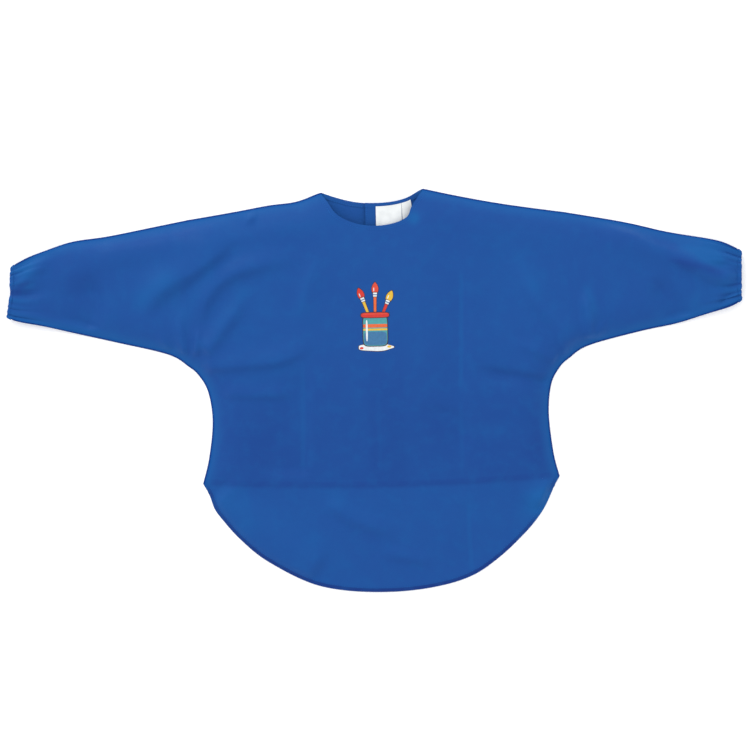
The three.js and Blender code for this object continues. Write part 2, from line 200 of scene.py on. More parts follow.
side_seam = curve(
    [
        (HALF_HEM, BIB_DEPTH),
        (mix(HALF_HEM, HALF_WAIST, 0.62), BIB_DEPTH + 0.42 * WAIST_UP),
        (HALF_WAIST, BIB_DEPTH + WAIST_UP),
        (252, 299),
        (267, 325),
        (SLEEVE_FOLD, UNDERARM_AT_FOLD),
    ]
)
shoulder_seam = curve([(HALF_NECK, LENGTH), (178, 566.6), (SLEEVE_FOLD, SHOULDER_AT_FOLD)])
sleeve_top_seam = curve(
    [
        (SLEEVE_FOLD, SHOULDER_AT_FOLD),
        (389, 530),
        (489, 507.5),
        (SLEEVE_END, CUFF_TOP),
        (CUFF_START, CUFF_MIDDLE + CUFF_START_WIDTH / 2),
    ]
)
sleeve_under_seam = curve(
    [
        (SLEEVE_FOLD, UNDERARM_AT_FOLD),
        (309, 354),
        (389, 374.5),
        (489, 398.5),
        (SLEEVE_END, CUFF_TOP - SLEEVE_END_WIDTH),
        (CUFF_START, CUFF_MIDDLE - CUFF_START_WIDTH / 2),
    ]
)
half_hem = [(HALF_HEM, BIB_DEPTH), (254.5, 150), (237, 114), (208, 79), (165, 44), (92, 9)]
hem_line = curve([*[(-x, y) for x, y in half_hem], (0, 0), *half_hem[::-1]], 400)
back_hem = np.array([(x, back_hem_y(x)) for x in np.linspace(-HALF_HEM, HALF_HEM, 200)])
seams = [
    even(joined(side_seam, sleeve_under_seam), 60),
    even(joined(shoulder_seam, sleeve_top_seam), 40),
]
outer_edge = even(
    joined(side_seam, straight((SLEEVE_FOLD, UNDERARM_AT_FOLD), (SLEEVE_FOLD, SHOULDER_AT_FOLD))), 400
)
scoop_turn = np.linspace(math.pi, 2 * math.pi, 200)
neck_scoop = np.stack(
    [HALF_NECK * np.cos(scoop_turn), LENGTH + FRONT_NECK_DROP * np.sin(scoop_turn)], axis=1
)
# The neck's edge rolls in near each shoulder: from where, and how far.
for roll_x, roll_y, roll_in, reach in ((67, 564, -12.5, 19), (-72, 571, 4, 15)):
    apart = np.hypot(neck_scoop[:, 0] - roll_x, neck_scoop[:, 1] - roll_y)
    near_shoulder = np.exp(-((apart / reach) ** 2)) * ease((LENGTH - neck_scoop[:, 1]) / 10)
    neck_scoop[:, 0] += roll_in * near_shoulder

# ---- How the cloth lies ----

FOLD_STRENGTH = 2.5
# Each fold: its line, its height (less than 0 for a hollow), how far it spreads to the left and to
# the right of the line's direction, and over what share of its length it fades in and out.
FOLDS = [
    # The right sleeve, from the underarm and the cuff up towards the shoulder
    ([(-352, 404), (-318, 445), (-266, 476), (-229, 504), (-203, 532)], 4.6, 34, 9, 0.3, 0.3),
    ([(-268, 385), (-248, 438), (-214, 468), (-165, 482), (-98, 494)], 3.2, 18, 8, 0.25, 0.5),
    ([(-256, 352), (-232, 384), (-209, 414), (-190, 452)], 2.8, 15, 8, 0.1, 0.5),
    ([(-262, 333), (-189, 337), (-145, 341), (-110, 356), (-80, 371)], 2.2, 20, 6, 0.1, 0.4),
    ([(-232, 296), (-170, 292), (-116, 294)], 1.5, 12, 5, 0.15, 0.3),
    ([(-115, 166), (-113, 250), (-111, 349)], -2.2, 60, 6, 0.1, 0.3),
    ([(-425, 388), (-413, 436), (-421, 482)], -3.6, 48, 9, 0.15, 0.4),
    ([(-470, 507), (-383, 507), (-273, 526), (-199, 541)], 2.4, 12, 18, 0.3, 0.3),
    ([(-524, 460), (-502, 478), (-474, 494)], 3.0, 18, 8, 0.1, 0.4),
    ([(-536, 441), (-506, 449), (-474, 457)], -1.3, 3, 5, 0.0, 0.6),
    ([(-536, 430), (-512, 431), (-488, 426)], -1.0, 3, 4, 0.0, 0.7),
    ([(-184, 538), (-182, 568)], 2.2, 6, 4, 0.5, 0.0),
    ([(-114, 400), (-102, 451), (-82, 502)], 1.0, 9, 10, 0.3, 0.4),
    ([(-268, 352), (-262, 400)], 1.6, 5, 5, 0.1, 0.6),
    ([(-284, 352), (-290, 398), (-280, 430)], 1.8, 8, 6, 0.1, 0.6),
    ([(-310, 360), (-322, 392)], 1.2, 6, 6, 0.1, 0.7),
    ([(-420, 384), (-414, 420)], 1.0, 5, 5, 0.1, 0.6),
    # The left sleeve
    ([(290, 352), (274, 377), (238, 415), (217, 452), (203, 489)], 2.4, 12, 14, 0.1, 0.4),
    ([(311, 362), (308, 399), (301, 438)], 2.8, 8, 8, 0.1, 0.4),
    ([(322, 362), (331, 394)], 1.7, 5, 6, 0.1, 0.6),
    ([(135, 323), (190, 312), (252, 300)], -2.2, 8, 8, 0.4, 0.1),
    ([(314, 533), (372, 512), (430, 488), (474, 472)], 2.6, 11, 17, 0.3, 0.3),
    ([(425, 486), (475, 459), (534, 446)], 4.6, 24, 6, 0.4, 0.0),
    ([(478, 468), (508, 464), (536, 466)], -2.4, 5, 6, 0.5, 0.0),
    ([(447, 392), (438, 415), (402, 452)], -2.8, 24, 11, 0.1, 0.4),
    ([(262, 332), (222, 352), (190, 362)], 1.6, 8, 7, 0.1, 0.6),
    ([(274, 342), (256, 388)], 1.4, 6, 6, 0.1, 0.6),
    ([(500, 404), (512, 424), (530, 430)], -2.2, 5, 5, 0.4, 0.0),
    # The body
    ([(124, 196), (121, 240), (100, 258), (44, 262)], -1.1, 24, 6, 0.3, 0.4),
    ([(120, 166), (119, 285), (124, 480)], -0.9, 26, 7, 0.2, 0.2),
    # The apron front
    ([(-88, 30), (-179, 94), (-240, 156)], 2.8, 38, 18, 0.1, 0.1),
    ([(-85, 137), (-45, 108), (10, 88), (32, 74)], 1.9, 14, 7, 0.2, 0.4),
    ([(-6, 59), (36, 50), (78, 41)], 1.3, 9, 6, 0.3, 0.3),
    ([(236, 104), (250, 132), (262, 160)], 4.2, 34, 10, 0.4, 0.4),
    ([(127, 24), (128, 90), (130, 135)], -0.7, 14, 6, 0.2, 0.2),
]

# Sharp lines left from the folded pack, shown only as painted highlights along them: where, and how strong.
CREASES = [
    ([(119, 285), (124, 478)], 1.0),
    ([(119, 161), (119, 285)], 0.45),
    ([(126, 24), (128, 133)], 0.8),
    ([(-115, 166), (-111, 352)], 0.5),
    ([(-0.5, 170), (-2, 300)], 0.35),
    ([(-116, 400), (-104, 452), (-84, 500)], 0.35),
    ([(-228, 291), (-116, 290)], 0.3),
]
STEEP_SIDE = 1.35  # widens every fold's right side


def fold_height(x, y, path, height, left, right, fade_in, fade_out):
    line = curve(path, 24)
    margin = 3 * max(left, right)
    near = (
        (x > line[:, 0].min() - margin)
        & (x < line[:, 0].max() + margin)
        & (y > line[:, 1].min() - margin)
        & (y < line[:, 1].max() + margin)
    )
    result = np.zeros_like(x)
    if near.any():
        far, side, along = to_line(x[near], y[near], line)
        spread = np.where(side > 0, left, STEEP_SIDE * right)
        fade = ease(along / max(fade_in, 1e-3)) * ease((1 - along) / max(fade_out, 1e-3))
        result[near] = height * np.exp(-((far / spread) ** 2)) * fade
    return result


def ripple(x, y, length, seed):
    """A gentle unevenness, from 1 to -1, with waves about length millimetres long."""
    rng = np.random.default_rng(seed)
    total = np.zeros_like(x)
    for _ in range(9):
        turn, phase, stretch = rng.uniform(0, math.tau, 3)
        wave = length * (0.7 + 0.12 * stretch)
        total += np.sin((x * math.cos(turn) + y * math.sin(turn)) * math.tau / wave + phase)
    return total / 5


def fold_relief(x, y):
    """What the folds and the small unevenness add to the front's height."""
    folds = FOLD_STRENGTH * sum(fold_height(x, y, *fold) for fold in FOLDS)
    return folds + 0.13 * ripple(x, y, 34, 12) + 0.05 * ripple(x, y, 17, 21)


def front_height(x, y):
    """Height of the front's upper face."""
    x, y = (np.asarray(a, float) for a in np.broadcast_arrays(x, y))
    shape = x.shape
    x, y = x.ravel(), y.ravel()
    beside = np.abs(x)
    from_seam = np.minimum(*[to_line(beside, y, seam)[0] for seam in seams])
    from_hem = to_line(x, y, even(hem_line, 60))[0]
    on_seam = 1 - (1 - np.clip(from_seam / SEAM_ROUND, 0, 1)) ** 2
    on_hem = ease((from_hem / HEM_ROUND) ** 0.8)
    on_apron = on_hem * mix(on_seam, 1, ease((BIB_DEPTH - y) / 40))
    inside = mix(on_seam, on_apron, ease((back_hem_y(x) + 30 - y) / 50))
    along_arm = ease((beside - HALF_NECK) / (HALF_SPAN - HALF_NECK))
    towards_hem = ease((300 - y) / 190)
    near_neck = (x / 90) ** 2 + ((y - LENGTH) / 70) ** 2
    loft = mix(mix(CHEST_LOFT, CUFF_LOFT, along_arm), HEM_LOFT, towards_hem)
    loft = loft - NECK_DIP * np.exp(-near_neck)
    loft = loft + 1.6 * ripple(x, y, WIDE_WAVE, 4) + 0.5 * ripple(x, y, SHORT_WAVE, 8)
    height = SEAM_TOP + loft * inside
    height = height + fold_relief(x, y) * ease(from_seam / 16) * ease(from_hem / 14)
    above_hem = y - back_hem_y(x)
    over_back_hem = ease((above_hem + 3) / 6) * (1 - 0.45 * ease((above_hem - HEM_WIDTH + 2) / 5))
    height = height + 0.4 * over_back_hem * ease(from_seam / 12)
    return np.maximum(height, SEAM_TOP - 0.2).reshape(shape)


def back_lift(x, y):
    """Height of the inner half of the back over the table, where it lies on the outer half."""
    by_tapes = ease((y - 470) / 40)
    return mix(1.7, 4.4, by_tapes) * (1 - ease((x - OVERLAP_RIGHT - 2) / 35))


# ---- Pieces ----


def crease_marks(x, y):
    """How near each place is to a sharp crease, from 0 to 1, as a distance and a strength."""
    nearest = np.full(x.shape, 30.0)
    strength = np.zeros(x.shape)
    for path, how_strong in CREASES:
        far, _, along = to_line(x, y, curve(path, 16))
        closer = far < nearest
        nearest = np.where(closer, far, nearest)
        fade = ease(along / 0.15) * ease((1 - along) / 0.15)
        strength = np.where(closer, how_strong * fade, strength)
    return nearest, strength


def add_piece(name, bm, *materials):
    mesh = bpy.data.meshes.new(name)
    bm.to_mesh(mesh)
    bm.free()
    for material in materials:
        mesh.materials.append(material)
    piece = bpy.data.objects.new(name, mesh)
    bpy.context.scene.collection.objects.link(piece)
    return piece


def smooth(bm):
    for face in bm.faces:
        face.smooth = True


def thicken(piece, thickness):
    """Gives a sheet its thickness and keeps its cut edges sharp."""
    solid = piece.modifiers.new("thickness", "SOLIDIFY")
    solid.thickness = thickness / 1000
    solid.offset = -1
    ready = piece.evaluated_get(bpy.context.evaluated_depsgraph_get())
    mesh = bpy.data.meshes.new_from_object(ready)
    piece.modifiers.clear()
    old, piece.data = piece.data, mesh
    mesh.name = old.name
    bm = bmesh.new()
    bm.from_mesh(mesh)
    smooth(bm)
    for edge in bm.edges:
        if edge.is_manifold and edge.calc_face_angle(0) > math.radians(50):
            edge.smooth = False
    bm.to_mesh(mesh)
    bm.free()
    return piece


def sheet_grid(columns, rows, place, flat=None, marks=None):
    """A sheet of columns by rows, with place(u, v) giving each point's x, y and z."""
    bm = bmesh.new()
    bmesh.ops.create_grid(bm, x_segments=columns, y_segments=rows, size=0.5)
    share = np.array([vert.co[:2] for vert in bm.verts]) + 0.5
    share = np.clip(share, 0, 1)
    x, y, z = place(share[:, 0], share[:, 1])
    for vert, co in zip(bm.verts, to_metres(x, y, z)):
        vert.co = co
    cloth_x, cloth_y = (x, y) if flat is None else flat(share[:, 0], share[:, 1])
    uv = bm.loops.layers.uv.new("cloth")
    for face in bm.faces:
        for loop in face.loops:
            i = loop.vert.index
            loop[uv].uv = (cloth_x[i] / 1000, cloth_y[i] / 1000)
    for key, values in (marks(x, y) if marks else {}).items():
        layer = bm.verts.layers.float.new(key)
        for vert, value in zip(bm.verts, values):
            vert[layer] = value
    return bm


def packed(share, amount=0.75):
    """Shares from 0 to 1, drawn closer together towards both ends."""
    return mix(share, (1 - np.cos(math.pi * share)) / 2, amount)


def patch(bottom, top, left, right):
    """A mapping from shares (u, v) to places, that fills four edges."""

    def at(line, share):
        reach = np.linspace(0, 1, len(line))
        return np.stack([np.interp(share, reach, line[:, 0]), np.interp(share, reach, line[:, 1])])

    def place(u, v):
        low, high, west, east = at(bottom, u), at(top, u), at(left, v), at(right, v)
        corners = mix(
            mix(bottom[0][:, None], bottom[-1][:, None], u),
            mix(top[0][:, None], top[-1][:, None], u),
            v,
        )
        return mix(low, high, v) + mix(west, east, u) - corners

    return place


# Painted highlights and painted shade (less than 0) in spots on the front, where the folds alone show too
# faintly: a place, how far it reaches and how strong it is.
PAINTED_LIGHT_SPOTS = [
    (-177, 218, 45, -0.8), (-442, 466, 40, -0.8), (80, 242, 21, -0.5), (226, 202, 22, -0.8),
    (95, 557, 35, -0.45), (357, 471, 40, 0.15), (6, 522, 25, -0.4), (-490, 430, 22, -0.5),
    (56, 546, 9, 2.2), (236, 126, 22, 2.4), (209, 107, 16, 0.5), (-230, 139, 28, 0.55),
    (-194, 102, 24, 0.4), (-515, 482, 18, 1.5), (-311, 463, 24, 0.6), (-340, 435, 16, 0.5),
    (-282, 411, 14, 0.5), (-201, 446, 12, 0.4), (311, 398, 14, 0.7), (231, 444, 14, 0.4),
    (488, 482, 26, 1.5), (512, 440, 14, 0.8), (465, 410, 20, 0.5), (-68, 136, 16, 0.4), (-110, 240, 14, 0.3),
]  # fmt: skip

# Painted highlights and shade in the same way, along lines beside the folds: a line, its spread and its
# strength.
PAINTED_LIGHT_STREAKS = [
    ([(-362, 407), (-333, 448), (-282, 478)], 13, 0.55),
    ([(-281, 405), (-261, 448), (-226, 491)], 9, 0.45),
    ([(-248, 371), (-215, 418), (-171, 461)], 9, 0.45),
    ([(-184, 399), (-156, 468), (-130, 500)], 9, 0.3),
    ([(-125, 383), (-104, 445), (-79, 507)], 10, 0.3),
    ([(-233, 314), (-174, 317), (-86, 342)], 9, 0.3),
    ([(-112, 346), (-113, 258), (-116, 170)], 8, 0.35),
    ([(-441, 509), (-317, 519), (-199, 544)], 9, -0.45),
    ([(86, 560), (190, 539), (416, 499)], 11, -0.4),
    ([(195, 509), (219, 463), (241, 415)], 9, 0.45),
    ([(303, 451), (312, 421), (320, 395)], 7, 0.75),
    ([(259, 353), (274, 373), (296, 388)], 7, 0.35),
    ([(134, 332), (185, 312), (244, 303)], 8, -0.55),
    ([(88, 267), (128, 238), (211, 236)], 9, 0.3),
    ([(67, 284), (88, 239), (87, 195)], 13, -0.35),
    ([(222, 258), (229, 214), (230, 174)], 8, -0.55),
    ([(434, 502), (474, 488), (514, 468)], 8, 1.1),
    ([(419, 481), (474, 465), (523, 447)], 6, -2.2),
    ([(393, 460), (422, 430), (447, 415)], 7, -0.5),
    ([(461, 405), (467, 421), (475, 434)], 6, 0.45),
    ([(-471, 508), (-508, 490), (-523, 476)], 7, 0.55),
    ([(-531, 449), (-517, 462), (-504, 468)], 3, -1.1),
    ([(-526, 443), (-511, 456), (-497, 463)], 3, 0.8),
    ([(-420, 485), (-410, 459), (-417, 433)], 5, 0.35),
    ([(-237, 155), (-215, 128), (-186, 143)], 14, 0.3),
    ([(-83, 149), (-47, 125), (-3, 95)], 10, 0.25),
    ([(-62, 103), (-29, 83), (7, 78)], 7, -0.35),
    ([(-12, 53), (25, 46), (69, 42)], 6, -0.35),
    ([(-136, 46), (-107, 64), (-84, 96)], 12, 0.22),
]  # fmt: skip


def painted_streak_light(x, y):
    """What the painted streaks of light and shade add."""
    total = np.zeros_like(x)
    for path, spread, strong in PAINTED_LIGHT_STREAKS:
        far, _, along = to_line(x, y, curve(path, 12))
        fade = ease(along / 0.3) * ease((1 - along) / 0.3)
        total += strong * np.exp(-((far / spread) ** 2)) * fade
    return total


def painted_spot_light(x, y):
    """What the painted spots of light and shade add."""
    return sum(strong * nearness(x, y, *spot) for *spot, strong in PAINTED_LIGHT_SPOTS)


def edge_marks(x, y):
    """Marks for the finish: distances to the seams and hems, the sharp creases and the painted highlights and
    shade.
    """
    from_seam = np.minimum(*[to_line(np.abs(x), y, seam)[0] for seam in seams])
    from_hem = to_line(x, y, even(hem_line, 120))[0]
    nearest, strength = crease_marks(x, y)
    return {
        "from_seam": from_seam,
        "from_hem": from_hem,
        "from_back_hem": y - back_hem_y(x),
        "from_crease": nearest,
        "crease_strength": strength,
        "tone": painted_streak_light(x, y) + painted_spot_light(x, y),
    }


# ---- Finishes ----


class Finish:
    """A material under construction, with short ways to add its nodes."""

    def __init__(self, name):
        self.material = bpy.data.materials.new(name)
        self.material.use_nodes = True
        self.nodes = self.material.node_tree.nodes
        self.links = self.material.node_tree.links
        self.shader = next(n for n in self.nodes if n.type == "BSDF_PRINCIPLED")

    def put(self, target, value):
        if isinstance(value, bpy.types.NodeSocket):
            self.links.new(value, target)
        else:
            target.default_value = value

    def node(self, kind, inputs=(), **settings):
        made = self.nodes.new(kind)
        for key, value in settings.items():
            setattr(made, key, value)
        for key, value in dict(inputs).items():
            self.put(made.inputs[key], value)
        return made

    def math(self, operation, a, b=0.0, c=0.0):
        made = self.node("ShaderNodeMath", operation=operation)
        for socket, value in zip(made.inputs, (a, b, c)):
            self.put(socket, value)
        return made.outputs[0]

    def times(self, a, b):
        return self.math("MULTIPLY", a, b)

    def step(self, value, low, high, to_low=0.0, to_high=1.0):
        made = self.node("ShaderNodeMapRange", interpolation_type="SMOOTHSTEP")
        for socket, given in zip(made.inputs, (value, low, high, to_low, to_high)):
            self.put(socket, given)
        return made.outputs[0]

    def colours(self, share, a, b):
        made = self.node("ShaderNodeMix", data_type="RGBA")
        self.put(made.inputs["Factor"], share)
        self.put(made.inputs[6], a)
        self.put(made.inputs[7], b)
        return made.outputs[2]

    def mark(self, name):
        return self.node("ShaderNodeAttribute", attribute_name=name).outputs["Fac"]

    def cloth_uv(self):
        return self.node("ShaderNodeUVMap", uv_map="cloth").outputs[0]

    def grain(self, where, scale, detail=3.0, roughness=0.55, **inputs):
        made = self.node(
            "ShaderNodeTexNoise",
            {"Vector": where, "Scale": scale, "Detail": detail, "Roughness": roughness, **inputs},
        )
        return made.outputs[0]

    def weave(self, where, pitch):
        """Plain weave: over and under threads, pitch metres apart."""
        split = self.node("ShaderNodeSeparateXYZ", {0: where})
        turn = math.tau / pitch
        across = self.math("SINE", self.times(split.outputs[0], turn))
        along = self.math("SINE", self.times(split.outputs[1], turn))
        checks = self.times(across, along)
        ribs = self.math("MAXIMUM", across, along)
        return self.math("ADD", self.times(checks, 0.5), self.times(ribs, 0.5))

    def bump(self, height, distance, strength=1.0, normal=None):
        made = self.node("ShaderNodeBump", {"Height": height, "Distance": distance, "Strength": strength})
        if normal is not None:
            self.put(made.inputs["Normal"], normal)
        return made.outputs[0]

    def surface(self, **inputs):
        for key, value in inputs.items():
            socket = key.replace("_", " ").title().replace("Ior", "IOR")
            self.put(self.shader.inputs[socket], value)
        return self.material


NYLON = (0.0115, 0.0700, 0.293, 1)
# The next three colours are painted: a shade, a deeper shade, and a paler blue that serves both for the
# cloth's random mottle and for painted highlights and sheen.
NYLON_SHADE = (0.0105, 0.0480, 0.243, 1)
NYLON_DARK_SHADE = (0.0080, 0.0300, 0.185, 1)
NYLON_MOTTLE_AND_HIGHLIGHT = (0.0095, 0.0985, 0.335, 1)
THREAD = (0.0130, 0.108, 0.390, 1)
BLUE_SHEEN = (0.10, 0.50, 0.95, 1)


WEAVE_PITCH = 0.00055  # metres from thread to thread


def tinted(colour, tone):
    return (*[part * tone for part in colour[:3]], 1)


def nylon(name, on_front=True, tone=1.0):
    """Thin plain-woven nylon. Where layers lie under it, a darker blue is painted in as shade; painted
    highlights, sheen and shade are added near seams, hems, creases and puckers.
    """
    f = Finish(name)
    uv = f.cloth_uv()
    # Painted shade (deep, rim) and the paler blue of mottle and painted highlights, in this finish's tint.
    pale, deep, rim = (tinted(colour, tone) for colour in (NYLON_MOTTLE_AND_HIGHLIGHT, NYLON_SHADE, NYLON_DARK_SHADE))
    cloudy = f.grain(uv, 7.0, 4.0)
    colour = f.colours(f.step(cloudy, 0.35, 0.7, 0.0, 0.20), tinted(NYLON, tone), pale)
    if on_front:
        split = f.node("ShaderNodeSeparateXYZ", {0: uv})
        x, y = (f.times(split.outputs[i], 1000) for i in (0, 1))
        # Painted shade where other layers lie under the thin cloth, for the light that does not come through
        # them: darker where the back lies under, more so lower down, darker where the back's two halves
        # overlap, and a darker band along the back's hem.
        above = f.mark("from_back_hem")
        on_back = f.step(above, -2.0, 2.0)
        low = f.step(y, 420, 230)
        colour = f.colours(f.times(on_back, f.math("MULTIPLY_ADD", low, 0.30, 0.04)), colour, deep)
        overlap = f.times(f.step(x, -24, -8), f.step(x, 43, 27))
        colour = f.colours(f.times(f.times(overlap, on_back), f.times(low, 0.30)), colour, deep)
        hem_band = f.times(f.step(above, -7.0, 1.0), f.step(above, 9.5, 5.0))
        colour = f.colours(f.times(hem_band, 0.45), colour, deep)
        from_hem = f.mark("from_hem")
        # Painted shade along the apron front's hem, where the turned hem lies under and the cloth folds over.
        colour = f.colours(f.times(f.step(from_hem, 7.4, 5.6), 0.30), colour, rim)
        colour = f.colours(f.times(f.step(from_hem, 7.0, 3.2), 0.85), colour, rim)
        # Painted highlights (more than 0) and painted shade (less than 0) from the listed spots and streaks.
        painted_light_here = f.mark("tone")
        paler = f.times(f.math("MAXIMUM", painted_light_here, 0.0), 0.60)
        colour = f.colours(f.math("MINIMUM", paler, 0.9), colour, pale)
        darker = f.times(f.math("MAXIMUM", f.times(painted_light_here, -1.0), 0.0), 0.40)
        colour = f.colours(darker, colour, deep)
        # Painted highlights on the puckers' crests and painted shade in their hollows, round the cuffs.
        pucker = f.mark("pucker")
        colour = f.colours(f.step(pucker, 0.1, 1.0, 0.0, 0.55), colour, pale)
        colour = f.colours(f.step(pucker, -0.1, -0.9, 0.0, 0.60), colour, rim)
    from_seam = f.mark("from_seam")
    # Painted sheen: paler towards the seams, where the cloth rolls over towards the table.
    colour = f.colours(f.times(f.step(from_seam, 20, 2), 0.62), colour, pale)
    # A thin line of painted shade right at the seams, where the cloth turns down out of the light.
    colour = f.colours(f.times(f.step(from_seam, 3.2, 1.2), 0.85), colour, rim)
    # Painted highlights along the sharp creases.
    crease = f.times(f.step(f.mark("from_crease"), 5.5, 0.5), f.mark("crease_strength"))
    colour = f.colours(f.times(crease, 0.38), colour, pale)
    mottled = f.grain(uv, 42.0, 4.0, 0.6)
    colour = f.colours(f.step(mottled, 0.42, 0.75, 0.0, 0.28), colour, pale)
    slubs = f.grain(f.node("ShaderNodeMapping", {"Vector": uv, "Scale": (1, 22, 1)}).outputs[0], 90.0)
    brightness = f.math("MULTIPLY_ADD", slubs, 0.10, 0.95)
    colour = f.node("ShaderNodeHueSaturation", {"Color": colour, "Value": brightness}).outputs[0]
    normal = f.bump(f.weave(uv, WEAVE_PITCH), 0.00006, 0.5)
    normal = f.bump(f.grain(uv, 160.0, 4.0, 0.6), 0.0006, 0.35, normal)
    normal = f.bump(f.grain(uv, 36.0, 3.0, 0.6), 0.0018, 0.30, normal)
    rough = f.step(f.grain(uv, 22.0, 3.0), 0.3, 0.75, 0.50, 0.66)
    return f.surface(
        base_color=colour,
        roughness=rough,
        normal=normal,
        sheen_weight=0.12,
        sheen_roughness=0.35,
        sheen_tint=BLUE_SHEEN,
        specular_ior_level=f.step(from_seam, 1.0, 7.0, 0.0, 0.18),
        specular_tint=(0.45, 0.72, 1.0, 1),
    )


def thread_finish(name, colour=THREAD, sheen=BLUE_SHEEN):
    f = Finish(name)
    where = f.node("ShaderNodeTexCoord").outputs["Object"]
    ply = f.grain(where, 1400.0, 2.0)
    shade = f.colours(f.step(ply, 0.3, 0.7, 0.0, 0.5), colour, tinted(colour, 1.6))
    return f.surface(
        base_color=shade,
        roughness=0.6,
        normal=f.bump(ply, 0.0001, 0.6),
        sheen_weight=0.2,
        sheen_tint=sheen,
        specular_ior_level=0.2,
        specular_tint=sheen,
    )


def satin(name):
    """White woven ribbon for the labels."""
    f = Finish(name)
    uv = f.cloth_uv()
    split = f.node("ShaderNodeSeparateXYZ", {0: uv})
    weft = f.math("SINE", f.times(split.outputs[1], math.tau / 0.0004))
    cloudy = f.grain(uv, 60.0, 3.0)
    colour = f.colours(f.step(cloudy, 0.3, 0.7), (0.76, 0.79, 0.80, 1), (0.85, 0.88, 0.89, 1))
    normal = f.bump(weft, 0.00004, 0.5)
    normal = f.bump(f.grain(uv, 120.0, 2.0), 0.0005, 0.3, normal)
    return f.surface(
        base_color=colour, roughness=0.42, normal=normal, sheen_weight=0.2, anisotropic=0.4
    )


def ink(name, colour):
    """A screen-printed colour, a soft film that lets the weave through."""
    f = Finish(name)
    where = f.node("ShaderNodeTexCoord").outputs["Object"]
    patchy = f.grain(where, 260.0, 4.0, 0.65)
    shade = f.colours(f.step(patchy, 0.35, 0.7), tinted(colour, 0.85), colour)
    normal = f.bump(f.weave(where, WEAVE_PITCH), 0.00005, 0.5)
    normal = f.bump(f.grain(where, 500.0, 3.0), 0.0002, 0.4, normal)
    rough = f.step(patchy, 0.3, 0.7, 0.38, 0.52)
    return f.surface(base_color=shade, roughness=rough, normal=normal)


def braided(name):
    """White braided elastic, ribbed across its width."""
    f = Finish(name)
    split = f.node("ShaderNodeSeparateXYZ", {0: f.cloth_uv()})
    ribs = f.math("SINE", f.times(split.outputs[0], math.tau / 0.0011))
    rows = f.math("SINE", f.times(split.outputs[1], math.tau / 0.0016))
    colour = f.colours(f.step(ribs, -1, 1), (0.62, 0.61, 0.58, 1), (0.82, 0.81, 0.78, 1))
    normal = f.bump(f.math("ADD", ribs, f.times(rows, 0.5)), 0.0002, 0.8)
    return f.surface(base_color=colour, roughness=0.85, normal=normal)


def fuzzy(name):
    """Matt knitted pile of the hook and loop tape."""
    f = Finish(name)
    where = f.node("ShaderNodeTexCoord").outputs["Object"]
    pile = f.grain(where, 1800.0, 3.0)
    colour = f.colours(f.step(pile, 0.3, 0.7), (0.008, 0.03, 0.13, 1), (0.02, 0.07, 0.24, 1))
    normal = f.bump(pile, 0.0004, 0.8)
    return f.surface(base_color=colour, roughness=0.95, normal=normal, sheen_weight=0.5)


front_nylon = nylon("front_nylon")
braid = braided("white_braid")
hook_and_loop = fuzzy("hook_and_loop_pile")
back_nylon = nylon("back_nylon", on_front=False, tone=1.03)
facing_nylon = nylon("facing_nylon", on_front=False, tone=0.98)
stitching = thread_finish("blue_thread")
label_thread = thread_finish("white_thread", (0.75, 0.76, 0.78, 1), (1, 1, 1, 1))
label_satin = satin("label_satin")

# ---- Baking each piece's place into its mesh ----


def bend_sleeve(piece):
    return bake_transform(piece)


def bend_apron(piece):
    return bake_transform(piece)


def bend_back(piece):
    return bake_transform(piece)


# ---- The front ----


def front_patch():
    """The body's front, from the back's hem up to the shoulders and the neck."""
    neck_from = 0.28  # the share of the top edge that is shoulder, on each side
    top = []
    for share in np.linspace(0, 1, 501):
        if share < neck_from:
            top.append(even(mirrored(shoulder_seam)[::-1], [share / neck_from])[0])
        elif share <= 1 - neck_from:
            top.append(even(neck_scoop, [(share - neck_from) / (1 - 2 * neck_from)])[0])
        else:
            top.append(even(shoulder_seam, [(share - 1 + neck_from) / neck_from])[0])
    return patch(even(back_hem, 400), np.array(top), mirrored(outer_edge), outer_edge)


body_patch = front_patch()


def place_body(u, v):
    x, y = body_patch(packed(u), packed(v, 0.6))
    return x, y, front_height(x, y)


bm = sheet_grid(*FRONT_GRID, place_body, marks=edge_marks)
front_body = add_piece("front_body", bm, front_nylon)
thicken(front_body, CLOTH)
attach(front_body, "smock")
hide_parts("front_panel")

# ---- The apron front ----

apron_side = straight(half_hem[1], half_hem[0])
apron_bottom = curve([*[(-x, y) for x, y in half_hem[1:]], (0, 0), *half_hem[:0:-1]], 400)
apron_patch = patch(apron_bottom, even(back_hem, 400), mirrored(apron_side), apron_side)


def place_apron(u, v):
    x, y = apron_patch(packed(u, 0.5), packed(v, 0.7))
    return x, y, front_height(x, y)


bm = sheet_grid(*APRON_GRID, place_apron, marks=edge_marks)
apron_front = add_piece("apron_front_cloth", bm, front_nylon)
thicken(apron_front, CLOTH)
bend_apron(apron_front)
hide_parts("apron_front")

# ---- Strips, stitches and other trim ----


def strip(name, edge, inward, width, height, columns=80):
    """A band of cloth along an edge, width wide on its inward side (1 left, -1 right)."""
    line = even(edge, columns)
    along = np.gradient(line, axis=0)
    along /= np.linalg.norm(along, axis=1)[:, None]
    across = inward * np.stack([-along[:, 1], along[:, 0]], axis=1)

    def place(u, v):
        share = np.linspace(0, 1, columns + 1)
        x, y, dx, dy = (np.interp(u, share, a) for a in (*line.T, *across.T))
        x, y = x + dx * v * width, y + dy * v * width
        return x, y, height(x, y)

    bm = sheet_grid(columns, 3, place, marks=edge_marks)
    if inward < 0:
        bmesh.ops.reverse_faces(bm, faces=bm.faces)
    return thicken(add_piece(name, bm, facing_nylon), CLOTH)


